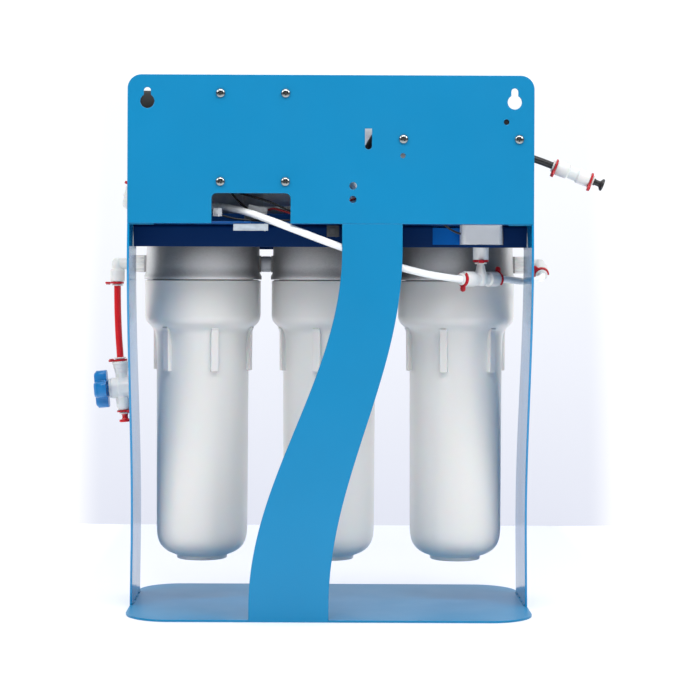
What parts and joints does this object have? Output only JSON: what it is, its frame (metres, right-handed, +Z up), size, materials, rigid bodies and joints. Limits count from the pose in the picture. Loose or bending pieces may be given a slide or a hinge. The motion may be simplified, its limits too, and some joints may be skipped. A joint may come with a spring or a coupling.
{
  "type": "reverse osmosis water unit",
  "caption": "Reverse osmosis water unit: filter housings hung from a folded sheet-metal stand, with pump, membrane and post filter on a shelf, push-fit tubes and a feed valve.",
  "frame": {"origin": "centre of the base plate's underside", "axes": "+X to the right seen from the wall side, -Y towards the wall, +Z up"},
  "size_m": [0.4573, 0.2026, 0.471],
  "materials": {
    "blue_paint": "fine satin powder coat, sky blue",
    "screw_steel": "bright zinc plated",
    "head_plastic": "satin moulded polypropylene, white",
    "bowl_plastic": "slightly translucent satin polypropylene, white",
    "seal_rubber": "matt black rubber",
    "cartridge_media": "melt-blown fibre, off-white",
    "fitting_plastic": "satin white acetal",
    "clip_red": "gloss red plastic",
    "tube_red": "satin polyethylene, red",
    "tube_white": "satin polyethylene, white",
    "tube_blue": "satin polyethylene, blue",
    "tube_black": "satin polyethylene, black",
    "knob_blue": "gloss moulded plastic, blue",
    "valve_ball": "smooth acetal",
    "motor_black": "satin black enamel",
    "pump_plastic": "glass-filled plastic, dark grey",
    "rotor_copper": "wound armature on a steel shaft",
    "bracket_steel": "zinc plated sheet",
    "membrane_film": "wound film under tape, cream",
    "switch_plastic": "satin white moulding"
  },
  "bodies": {
    "unit": {"base_plate": "blue_paint", "rear_leg": "blue_paint", "left_leg": "blue_paint", "right_leg": "blue_paint", "shelf": "blue_paint", "back_plate": "blue_paint", "filter_channel": "blue_paint", "pump_screws": "screw_steel", "bracket_screws": "screw_steel", "head_screws": "screw_steel", "head_1": "head_plastic", "head_2": "head_plastic", "head_3": "head_plastic", "nipples": "fitting_plastic", "feed_elbow": "fitting_plastic", "feed_tube": "tube_red", "valve_body": "fitting_plastic", "outlet_elbow": "fitting_plastic", "outlet_tube": "tube_white", "tee": "fitting_plastic", "pressure_switch": "switch_plastic", "white_tube": "tube_white", "motor_can": "motor_black", "motor_end_bell": "motor_black", "pump_head": "pump_plastic", "pump_bracket": "bracket_steel", "pump_grommets": "seal_rubber", "pump_elbows": "fitting_plastic", "pressure_tube": "tube_white", "membrane_housing": "head_plastic", "membrane_cap": "head_plastic", "membrane_element": "membrane_film", "housing_clips": "fitting_plastic", "membrane_elbows": "fitting_plastic", "permeate_tube": "tube_blue", "post_filter": "head_plastic", "product_tee": "fitting_plastic", "high_pressure_switch": "switch_plastic", "brine_tube": "tube_black", "valve_bracket": "bracket_steel", "drain_valve": "switch_plastic", "drain_tube": "tube_black", "drain_link": "fitting_plastic", "leads": "tube_black", "collets": "fitting_plastic", "collet_clips": "clip_red"},
    "filling_1": {"cartridge_1": "cartridge_media", "o_ring_1": "seal_rubber"},
    "filling_2": {"cartridge_2": "cartridge_media", "o_ring_2": "seal_rubber"},
    "filling_3": {"cartridge_3": "cartridge_media", "o_ring_3": "seal_rubber"},
    "bowl_1": {"bowl_1": "bowl_plastic"},
    "bowl_2": {"bowl_2": "bowl_plastic"},
    "bowl_3": {"bowl_3": "bowl_plastic"},
    "feed_knob": {"valve_knob": "knob_blue", "valve_ball": "valve_ball"},
    "feed_plug": {"feed_plug": "clip_red"},
    "drain_plug": {"drain_plug": "tube_black"},
    "rotor": {"pump_rotor": "rotor_copper"}
  },
  "joints": [
    {"name": "bowl_1_drop", "type": "slide", "parent": "unit", "child": "filling_1", "axis": [0, 0, -1], "range_m": [0, 0.0152]},
    {"name": "bowl_1_turn", "type": "hinge", "parent": "filling_1", "child": "bowl_1", "pos_m": [-0.116, 0.012, 0.15], "axis": [0, 0, -1], "range_deg": [0, 1080]},
    {"name": "bowl_2_drop", "type": "slide", "parent": "unit", "child": "filling_2", "axis": [0, 0, -1], "range_m": [0, 0.0152]},
    {"name": "bowl_2_turn", "type": "hinge", "parent": "filling_2", "child": "bowl_2", "pos_m": [0, 0.012, 0.15], "axis": [0, 0, -1], "range_deg": [0, 1080]},
    {"name": "bowl_3_drop", "type": "slide", "parent": "unit", "child": "filling_3", "axis": [0, 0, -1], "range_m": [0, 0.0152]},
    {"name": "bowl_3_turn", "type": "hinge", "parent": "filling_3", "child": "bowl_3", "pos_m": [0.116, 0.012, 0.15], "axis": [0, 0, -1], "range_deg": [0, 1080]},
    {"name": "feed_knob_turn", "type": "hinge", "parent": "unit", "child": "feed_knob", "pos_m": [-0.1894, 0.012, 0.1955], "axis": [-0.9962, 0, -0.0872], "range_deg": [0, 90]},
    {"name": "feed_plug_pull", "type": "slide", "parent": "unit", "child": "feed_plug", "axis": [0.0872, 0, -0.9962], "range_m": [0, 0.022]},
    {"name": "drain_plug_pull", "type": "slide", "parent": "unit", "child": "drain_plug", "axis": [0.9336, 0, -0.3584], "range_m": [0, 0.022]},
    {"name": "rotor_spin", "type": "hinge", "parent": "unit", "child": "rotor", "pos_m": [-0.12, -0.045, 0.417], "axis": [1, 0, 0], "continuous": true}
  ],
  "couplings": [
    {"joint": "bowl_1_drop", "follows": "bowl_1_turn", "m_per_rad": 0.00079577},
    {"joint": "bowl_2_drop", "follows": "bowl_2_turn", "m_per_rad": 0.00079577},
    {"joint": "bowl_3_drop", "follows": "bowl_3_turn", "m_per_rad": 0.00079577}
  ]
}
